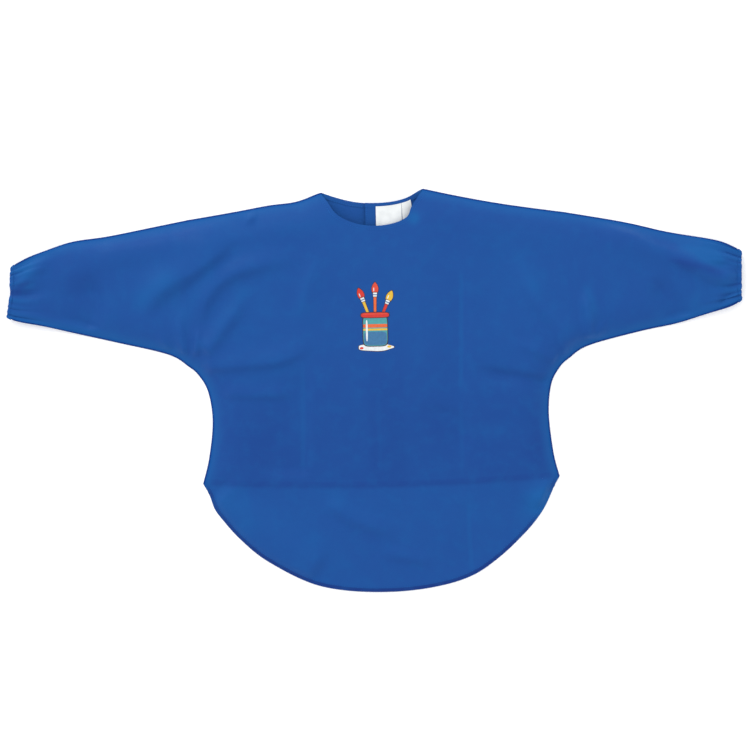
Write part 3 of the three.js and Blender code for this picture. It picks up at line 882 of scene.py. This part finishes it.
def add_stitch(bm, place, forward, side, long, wide):
    """One stitch, a long bead, turned to lie along forward."""
    turn = Matrix((forward * long / 2, side * wide / 2, forward.cross(side) * wide / 2)).transposed()
    matrix = Matrix.Translation(to_metres(*place)) @ (turn * 0.001).to_4x4()
    bmesh.ops.create_uvsphere(bm, u_segments=6, v_segments=4, radius=1, matrix=matrix)


def stitches(name, line, height, material=stitching, pitch=3.3, long=2.6, wide=0.55):
    """A row of machine stitches along a line."""
    total = np.linalg.norm(np.diff(line, axis=0), axis=1).sum()
    places = even(line, int(total / pitch))
    ahead = np.gradient(places, axis=0)
    z = height(places[:, 0], places[:, 1])
    slope = np.gradient(z)
    bm = bmesh.new()
    for (x, y), z_here, (dx, dy), dz in zip(places, z, ahead, slope):
        forward = Vector((dx, dy, dz)).normalized()
        side = Vector((0, 0, 1)).cross(forward).normalized()
        add_stitch(bm, (x, y, z_here), forward, side, long, wide)
    smooth(bm)
    return add_piece(name, bm, material)


def offset_line(line, distance):
    """The same line, moved to its left by distance."""
    along = np.gradient(line, axis=0)
    along /= np.linalg.norm(along, axis=1)[:, None]
    return line + distance * np.stack([-along[:, 1], along[:, 0]], axis=1)


neck_edge = even(neck_scoop, 120)[3:-3]
neck_facing = strip(
    "front_neck_facing",
    neck_edge,
    -1,
    FACING_WIDTH,
    lambda x, y: front_height(x, y) - LAYER,
)
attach(neck_facing, "smock")
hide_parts("neck_facing_front")

neck_stitches = stitches(
    "neck_stitches",
    offset_line(even(neck_scoop, 160), -5.6)[2:-2],
    lambda x, y: front_height(x, y) + 0.05,
)
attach(neck_stitches, "smock")

apron_hem = strip(
    "apron_hem_turning",
    even(hem_line, 300)[4:-4],
    1,
    HEM_WIDTH,
    lambda x, y: np.full_like(x, LAYER),
    columns=200,
)
bend_apron(apron_hem)
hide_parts("apron_hem")

hem_stitches = stitches(
    "apron_hem_stitches",
    offset_line(even(hem_line, 300), 6.0)[5:-5],
    lambda x, y: front_height(x, y) + 0.05,
)
bend_apron(hem_stitches)

# ---- Sleeves and cuffs ----

# The casing's section: how far from its start, and how deep under the cuff's outer face. It runs
# out to the hand, turns in round the elastic, and comes back to the line of stitches.
CASING = [
    (0.0, 0.0), (0.5, 0.4), (1.0, 0.55), (1.5, 0.35), (2.2, 0.0), (3.6, -0.3), (5.6, -0.25),
    (7.0, 0.1), (7.6, 0.8), (7.8, 1.5), (7.5, 2.3), (6.6, 2.7), (4.6, 2.9), (3.0, 2.7),
    (1.9, 2.2), (1.2, 1.7), (0.5, 1.8),
]  # fmt: skip
casing_section = curve(CASING, 200)
CUFF_STITCH = 1.0
SLEEVE_ROWS, CASING_ROWS, TURNS = 72, 34, 120
GATHER = 1.9  # how far the puckers round the cuff stand out
ELASTIC_EDGES = (2.8, 7.0)  # how far from the casing's start the elastic begins and ends
ELASTIC_DEPTH = 0.7
ELASTIC_THICK = 1.2
CUFF_ROUND = 150  # the cloth's length round the cuff, for the weave


def gathers(turn, seed):
    """Puckers round the cuff, from 1 to -1."""
    rng = np.random.default_rng(seed)
    total = np.zeros_like(turn)
    for count, part in ((7, 0.7), (12, 0.9), (19, 0.8), (26, 0.5), (37, 0.3)):
        wave = np.sin(count * turn / 2 + rng.uniform(0, math.tau))
        total += part * (2 * np.sqrt(wave**2 + 0.03) - 1.25)
    return total / 1.7


def flat_oval(value):
    return np.sign(value) * np.abs(value) ** 0.78


def cuff_place(turn, length, depth, seed):
    """A place on the cuff, length along it from its start and depth under its outer face."""
    pinch = np.exp(-(((length - CUFF_STITCH) / 0.9) ** 2))
    out = GATHER * gathers(turn, seed) * (1 - 0.35 * pinch) - depth
    half_width = mix(CUFF_START_WIDTH, CUFF_WIDTH, ease(length / CASING_LENGTH)) / 2 - 1 + out
    half_height = CUFF_HEIGHT / 2 - 1 + out
    middle = CUFF_HEIGHT / 2 + 0.9 - 0.4 * length / CASING_LENGTH
    wavy = 0.8 * np.sin(turn * 3 + seed) + 0.5 * gathers(turn, seed + 5)
    towards_hand = ease(length / CASING_LENGTH)
    x = CUFF_START + length + wavy * towards_hand - 0.9 * towards_hand
    y = CUFF_MIDDLE + half_width * flat_oval(np.cos(turn))
    return x, y, middle + half_height * flat_oval(np.sin(turn))


def sleeve_place(turn, share, sign, seed):
    """A place on the sleeve between its fold and its cuff, on the +X side."""
    steps = np.linspace(0, 1, len(sleeve_top_seam))
    top_x, top_y = (np.interp(share, steps, column) for column in sleeve_top_seam.T)
    low_x, low_y = (np.interp(share, steps, column) for column in sleeve_under_seam.T)
    across = (1 + np.cos(turn)) / 2
    x, y = mix(low_x, top_x, across), mix(low_y, top_y, across)
    side = np.sin(turn)
    on_top = np.where(np.abs(side) < 1e-6, 0.5, side > 0)
    z = mix(0.05, front_height(sign * x, y), on_top)
    round_x, round_y, round_z = cuff_place(turn, np.zeros_like(turn), 0, seed)
    half = np.hypot(top_x - low_x, top_y - low_y) / 2
    puckers = 2.4 * gathers(turn, seed) * ease((share - 0.66) / 0.34) ** 1.4
    oval_y = (top_y + low_y) / 2 + (half - 1) * flat_oval(np.cos(turn)) + puckers * np.cos(turn)
    oval_z = round_z + (puckers - GATHER * gathers(turn, seed)) * side
    folds = 0.8 * fold_relief(sign * x, y) * np.maximum(side, 0) ** 0.5
    oval_z = oval_z + folds * ease((1.02 - share) / 0.1)
    turned = ease((share - 0.5) / 0.5)
    last = ease((share - 0.93) / 0.07)
    x = mix(x, round_x, last)
    y = mix(mix(y, oval_y, turned), round_y, last)
    z = mix(mix(z, oval_z, turned), round_z, last)
    return x, y, np.maximum(z, 0.05)


def sleeve(side, sign, seed):
    rows = SLEEVE_ROWS + CASING_ROWS
    flats = {}

    def place(u, v):
        turn = sign * math.tau * u
        row = v * rows
        share = np.clip(row / SLEEVE_ROWS, 0, 1)
        along = np.clip((row - SLEEVE_ROWS) / CASING_ROWS, 0, 1)
        steps = np.linspace(0, 1, len(casing_section))
        length, depth = (np.interp(along, steps, column) for column in casing_section.T)
        arm = sleeve_place(turn, share, sign, seed)
        cuff = cuff_place(turn, length, depth, seed)
        on_cuff = row > SLEEVE_ROWS
        x, y, z = (np.where(on_cuff, b, a) for a, b in zip(arm, cuff))
        z = np.maximum(z, 0.05)
        across = CUFF_ROUND * np.abs(((turn / math.tau) % 1) - 0.5) * 2
        flats["uv"] = (sign * (SLEEVE_FOLD + share * 250 + along * 22), 400 + across)
        # How far the puckers rise, which the finish shows as painted highlights and painted shade.
        flats["pucker"] = gathers(turn, seed) * ease((share - 0.78) / 0.22) ** 1.5
        return sign * x, y, z

    def marks(x, y):
        return {**edge_marks(x, y), "pucker": flats["pucker"]}

    bm = sheet_grid(TURNS, rows, place, flat=lambda u, v: flats["uv"], marks=marks)
    bmesh.ops.remove_doubles(bm, verts=bm.verts, dist=1e-6)
    piece = thicken(add_piece(f"sleeve_{side}_cloth", bm, front_nylon), CLOTH)
    bend_sleeve(piece)
    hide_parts(f"sleeve_{side}", f"cuff_casing_{side}")
    return piece


def elastic(side, sign, seed):
    """The braided elastic inside the casing."""

    def place(u, v):
        turn = sign * math.tau * u
        x, y, z = cuff_place(turn, mix(*ELASTIC_EDGES, v), ELASTIC_DEPTH, seed)
        return sign * x, y, z

    wide = ELASTIC_EDGES[1] - ELASTIC_EDGES[0]
    bm = sheet_grid(TURNS, 8, place, flat=lambda u, v: (u * CUFF_ROUND, v * wide))
    bmesh.ops.remove_doubles(bm, verts=bm.verts, dist=1e-6)
    piece = thicken(add_piece(f"cuff_{side}_elastic", bm, braid), ELASTIC_THICK)
    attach(piece, f"sleeve_{side}")
    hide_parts(f"cuff_elastic_{side}")


def cuff_stitches(side, sign, seed):
    """The ring of stitches that closes the casing."""
    turn = np.linspace(0, math.tau, 400)
    x, y, z = cuff_place(turn, np.full_like(turn, CUFF_STITCH), 0.98, seed)
    ring = np.stack([sign * x, y, np.maximum(z, 0.1)], axis=1)
    places = even(ring, 62)[:-1]
    bm = bmesh.new()
    for here, after in zip(places, np.roll(places, -1, axis=0)):
        forward = Vector(after - here).normalized()
        add_stitch(bm, (here + after) / 2, forward, Vector((1, 0, 0)), 2.5, 0.56)
    smooth(bm)
    piece = add_piece(f"cuff_{side}_stitches", bm, stitching)
    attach(piece, f"sleeve_{side}")
    return piece


for side, sign, seed in (("left", 1, 3), ("right", -1, 11)):
    arm = sleeve(side, sign, seed)
    elastic(side, sign, seed)
    seam = cuff_stitches(side, sign, seed)

# ---- The back ----


def back_half(side, sign):
    """Half of the back, drawn as if on the +X side. The left half lies inside the right one."""
    edge_x = OVERLAP_LEFT if sign > 0 else -OVERLAP_RIGHT
    lifted = back_lift if sign > 0 else (lambda x, y: np.zeros_like(x))
    hem_x = np.linspace(edge_x, HALF_HEM, 200)
    hem = np.stack([hem_x, back_hem_y(hem_x)], axis=1)
    neck_x = np.linspace(edge_x, HALF_NECK, 100)
    neck = np.stack([neck_x, back_neck_y(neck_x)], axis=1)
    fill = patch(hem, joined(neck, shoulder_seam), straight(hem[0], neck[0]), outer_edge)

    def skin(x, y):
        return lifted(x, y) + 0.05 + 0.12 * (1 + ripple(x, y, 60, 31)) * ease((x + 40) / 80)

    def place(u, v):
        x, y = fill(u, v)
        return sign * x, y, skin(x, y)

    bm = sheet_grid(*BACK_GRID, place, marks=edge_marks)
    if sign > 0:
        bmesh.ops.reverse_faces(bm, faces=bm.faces)
    cloth = thicken(add_piece(f"back_{side}_cloth", bm, back_nylon), CLOTH)
    bend_back(cloth)
    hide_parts(f"back_side_{side}", f"back_flap_{side}")

    def on_inside(extra):
        return lambda x, y: skin(sign * x, y) + CLOTH + extra

    def trim(name, node, line, width):
        line = line * (sign, 1)
        piece = strip(f"back_{side}_{name}", line, sign, width, on_inside(LAYER), 60)
        bend_back(piece)
        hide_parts(node)
        return piece

    def sew(name, line):
        piece = stitches(f"back_{side}_{name}_stitches", line * (sign, 1), on_inside(LAYER + 0.02))
        bend_back(piece)

    trim("hem", f"back_hem_{side}", hem[2:-8], HEM_WIDTH)
    trim("neck_facing", f"neck_facing_back_{side}", neck[::-1][4:], FACING_WIDTH)
    edge = straight((edge_x, neck[0, 1] - FACING_WIDTH - 0.5), (edge_x, hem[0, 1] + HEM_WIDTH + 0.5))
    placket = trim("placket_facing", f"placket_facing_{side}", edge, PLACKET_WIDTH)
    sew("hem", offset_line(hem[3:-10], 6.0))
    sew("neck", offset_line(neck[::-1][6:-2], 5.8))
    for inset in (2.0, PLACKET_WIDTH - 1.5):
        sew(f"placket_{int(inset)}", edge + (inset, 0))
    return skin


skins = {side: back_half(side, sign) for side, sign in (("right", -1), ("left", 1))}

# ---- Hook and loop closure ----


TAPE_SIZE = (0.020, 0.050, 0.0006)  # metres, as are the sizes below
PILE_ROWS, PILE_COLUMNS, PILE_PITCH = 26, 10, 0.0017


def tape(side, node, kind):
    """A rectangle of hook or loop tape, sewn on near the neck."""
    low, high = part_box(node)
    middle = (low + high) / 2
    bm = bmesh.new()
    bmesh.ops.create_cube(bm, size=1, matrix=Matrix.Diagonal((*TAPE_SIZE, 1)))
    upright = [e for e in bm.edges if abs((e.verts[0].co - e.verts[1].co).z) > 1e-4]
    bmesh.ops.bevel(
        bm, geom=upright, offset=0.0018, segments=4, affect="EDGES", profile=0.5, material=-1
    )
    facing = 1 if kind == "hook" else -1
    for row in range(PILE_ROWS):
        for column in range(PILE_COLUMNS):
            x = (column - (PILE_COLUMNS - 1) / 2) * PILE_PITCH
            y = (row - (PILE_ROWS - 1) / 2) * PILE_PITCH
            lean = 0.5 if (row + column) % 2 else -0.5
            matrix = Matrix.Translation((x, y, facing * 0.00038)) @ Matrix.Rotation(lean, 4, "Y")
            matrix = matrix @ Matrix.Diagonal((1, 1, facing, 1))
            if kind == "hook":
                size = {"radius1": 0.00022, "radius2": 0.00009, "depth": 0.0007}
                bmesh.ops.create_cone(bm, cap_ends=True, segments=5, matrix=matrix, **size)
            else:
                matrix = matrix @ Matrix.Diagonal((1.5, 1.1, 0.5, 1))
                bmesh.ops.create_icosphere(bm, subdivisions=1, radius=0.00045, matrix=matrix)
    bmesh.ops.recalc_face_normals(bm, faces=bm.faces)
    bmesh.ops.translate(bm, verts=bm.verts, vec=(middle.x, middle.y, middle.z - facing * 0.0001))
    piece = add_piece(f"{kind}_tape_strip", bm, hook_and_loop)
    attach(piece, f"back_{side}")
    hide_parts(node)


tape("right", "hook_tape", "hook")
tape("left", "loop_tape", "loop")

# ---- Labels ----


def label(name, node, shift, lean, under):
    """A ribbon label, sewn in at the back of the neck."""
    low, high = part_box(node)
    left, right = low.x * 1000 + shift, high.x * 1000 + shift
    long = 1000 * (high.y - low.y)

    def on_back(x, y):
        return skins["left"](x, y) + 2 * CLOTH + 2 * LAYER - under

    def place(u, v):
        x = mix(left, right, u)
        edge = back_neck_y(x) - 5.2
        y = edge - (1 - v) * (long - 5.2)
        x = x + lean * (1 - v) * long
        curl = 1.1 * (1 - v) ** 2 + 0.5 * np.sin(u * 2.6 + v * 3) * (1 - v)
        return x, y, on_back(x, y) + 0.2 + curl

    bm = sheet_grid(*LABEL_GRID, place)
    piece = thicken(add_piece(name, bm, label_satin), 0.35)
    bend_back(piece)
    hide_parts(node)
    line = np.array([(x, back_neck_y(x) - 6.4) for x in np.linspace(left + 1.2, right - 1.2, 30)])
    row = stitches(
        f"{name}_stitches", line, lambda x, y: on_back(x, y) + 0.25, label_thread, 2.4, 1.8, 0.4
    )
    bend_back(row)


label("size_label_ribbon", "size_label", -1.5, 0.0, 0.0)
label("care_label_ribbon", "care_label", -2.2, 0.03, 0.3)

# ---- Chest print ----


def oval(x, y, wide, tall, square=2.0, lobes=0, depth=0.0):
    """An outline: an oval, squarer for a higher square, with lobes round it if asked."""
    turn = np.linspace(0, math.tau, 64, endpoint=False)
    cos, sin = np.cos(turn), np.sin(turn)
    reach = 1 + depth * np.cos(lobes * turn)
    power = 2 / square
    return np.stack(
        [
            x + wide / 2 * reach * np.sign(cos) * np.abs(cos) ** power,
            y + tall / 2 * reach * np.sign(sin) * np.abs(sin) ** power,
        ],
        axis=1,
    )


def print_shape(bm, outline, layer, slot):
    """A filled outline, laid on the chest, layer steps up."""
    shape = bmesh.new()
    bmesh.ops.create_circle(shape, cap_ends=True, cap_tris=True, segments=len(outline), radius=1)
    bmesh.ops.subdivide_edges(shape, edges=shape.edges, cuts=2, use_grid_fill=True)
    flat = np.array([vert.co[:2] for vert in shape.verts])
    turn = (np.arctan2(flat[:, 1], flat[:, 0]) / math.tau) % 1 * len(outline)
    closed = np.concatenate([outline, outline[:1]])
    steps = np.arange(len(closed))
    rim = np.stack([np.interp(turn, steps, column) for column in closed.T], axis=1)
    middle = outline.mean(axis=0)
    reach = np.minimum(np.hypot(*flat.T), 1)[:, None]
    places = middle + (rim - middle) * reach + (PRINT_X, PRINT_Y)
    z = front_height(*places.T) + 0.12 + 0.07 * layer
    for vert, co in zip(shape.verts, to_metres(*places.T, z)):
        vert.co = co
    bmesh.ops.recalc_face_normals(shape, faces=shape.faces)
    if sum(face.normal.z for face in shape.faces) < 0:
        bmesh.ops.reverse_faces(shape, faces=shape.faces)
    smooth(shape)
    for face in shape.faces:
        face.material_index = slot
    made = bpy.data.meshes.new("shape")
    shape.to_mesh(made)
    shape.free()
    bm.from_mesh(made)
    bpy.data.meshes.remove(made)


def turned(outline, degrees, x, y):
    """An outline drawn upright at the origin, turned anticlockwise and moved."""
    turn = math.radians(degrees)
    across, up = outline.T
    return np.stack(
        [
            x + across * math.cos(turn) - up * math.sin(turn),
            y + across * math.sin(turn) + up * math.cos(turn),
        ],
        axis=1,
    )


def taper(low, high, low_width, high_width):
    """A straight bar between two heights, upright."""
    corners = [(low_width, low), (high_width, high), (-high_width, high), (-low_width, low), (low_width, low)]
    return even(np.array(corners, float) * (0.5, 1), 48)[:-1]


def bristles(low, wide, long, grow=0.0):
    """A pointed brush head, upright."""
    share = np.linspace(0, 1, 25)
    half = (wide / 2 + grow) * np.sin(math.pi * (0.2 + 0.8 * share)) ** 0.75
    up = low - grow + (long + 2.5 * grow) * share
    right = np.stack([half, up], axis=1)
    return np.concatenate([right, right[-2::-1] * (-1, 1)])


PRINT_X, PRINT_Y = -4, 402.5
RED, ORANGE, YELLOW, TEAL, BLUE, WHITE, LINE, CORAL = range(8)
inks = [
    ink("red_ink", (0.66, 0.022, 0.012, 1)),
    ink("orange_ink", (0.80, 0.13, 0.025, 1)),
    ink("yellow_ink", (0.80, 0.50, 0.035, 1)),
    ink("teal_ink", (0.060, 0.34, 0.36, 1)),
    ink("blue_ink", (0.035, 0.17, 0.36, 1)),
    ink("white_ink", (0.82, 0.85, 0.87, 1)),
    ink("dark_ink", (0.045, 0.014, 0.018, 1)),
    ink("coral_ink", (0.74, 0.060, 0.025, 1)),
]


def brush(lean, foot, long, handle, head, layer):
    """A paintbrush that stands in the pot."""
    at = lambda outline: turned(outline, lean, *foot)
    return [
        (LINE, at(taper(0, long, 4.4, 5.4)), layer),
        (handle, at(taper(0, long, 3.0, 4.0)), layer + 1),
        (LINE, at(bristles(long + 4.5, 9.5, 16, 0.8)), layer + 1),
        (head, at(bristles(long + 4.5, 9.5, 16)), layer + 2),
        (WHITE, at(oval(-1.8, long + 10, 1.3, 6.0)), layer + 3),
        (LINE, at(taper(long - 1.2, long + 6.2, 6.6, 7.2)), layer + 3),
        (WHITE, at(taper(long - 0.4, long + 5.4, 5.2, 5.8)), layer + 4),
        (BLUE, at(taper(long + 1.6, long + 3.0, 5.3, 5.5)), layer + 5),
    ]


# A pot of paint in a puddle, with three brushes standing in it.
MOTIF = [
    (LINE, oval(0, -44.6, 53.6, 12.6, 2.0, 5, 0.05), 0),
    (WHITE, oval(0, -44.6, 51.6, 10.8, 2.0, 5, 0.05), 1),
    (RED, oval(-20.5, -45.5, 5.6, 3.4), 2),
    (YELLOW, oval(20.0, -44.0, 6.2, 3.4), 2),
    *brush(20, (-6, -6), 31, YELLOW, RED, 2),
    *brush(-23, (7, -6), 27, RED, YELLOW, 2),
    *brush(-1, (0, -6), 36, ORANGE, CORAL, 4),
    (LINE, oval(0, -20, 37.5, 47, 6), 11),
    (TEAL, oval(0, -20, 35.2, 44.8, 6), 12),
    (BLUE, oval(0, -31.5, 33.0, 20, 5), 13),
    (ORANGE, oval(0, -13.2, 35.2, 5.0, 10), 14),
    (YELLOW, oval(0, -18.6, 35.2, 2.8, 10), 14),
    (WHITE, oval(-12.4, -20, 2.8, 31, 3), 15),
    (LINE, oval(0, 2.6, 42.6, 9.2, 4), 15),
    (RED, oval(0, 2.6, 40.4, 7.0, 4), 16),
    (CORAL, oval(0, 4.2, 36, 1.7, 4), 17),
]
bm = bmesh.new()
for slot, outline, layer in MOTIF:
    print_shape(bm, outline, 0.45 * layer, slot)
chest_print = thicken(add_piece("chest_print_motif", bm, *inks), 0.06)
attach(chest_print, "smock")
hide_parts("chest_print")

# ---- Floor, light and camera ----

bpy.ops.mesh.primitive_plane_add(size=30, location=(0, 0, -0.0004))
floor = bpy.context.object
floor.name = "floor"
# The floor glows a little, which keeps the shadows faint.
pale = Finish("pale_floor").surface(
    base_color=(0.93, 0.93, 0.93, 1),
    roughness=0.9,
    emission_color=(1, 1, 1, 1),
    emission_strength=0.22,
)
floor.data.materials.append(pale)

world = bpy.data.worlds.new("studio")
world.use_nodes = True
background = world.node_tree.nodes["Background"]
background.inputs["Color"].default_value = (1, 1, 1, 1)
background.inputs["Strength"].default_value = 1.0
bpy.context.scene.world = world


def softbox(name, place, target, size, power):
    light = bpy.data.lights.new(name, "AREA")
    light.shape = "RECTANGLE"
    light.size, light.size_y = size
    light.energy = power
    lamp = bpy.data.objects.new(name, light)
    lamp.location = place
    lamp.rotation_euler = (Vector(target) - Vector(place)).to_track_quat("-Z", "Y").to_euler()
    bpy.context.scene.collection.objects.link(lamp)


softbox("key", (-2.2, 4.0, 3.2), (0, 0, 0), (2.8, 2.0), 92)

camera = bpy.data.cameras.new("camera")
camera.lens = 100
camera.sensor_width = 36
camera_object = bpy.data.objects.new("camera", camera)
camera_object.location = (-0.00586, 0.0234, 3.065)
camera_object.rotation_euler = (0, 0, math.radians(-1.25))
bpy.context.scene.collection.objects.link(camera_object)
bpy.context.scene.camera = camera_object
bpy.context.scene.view_settings.view_transform = "Standard"
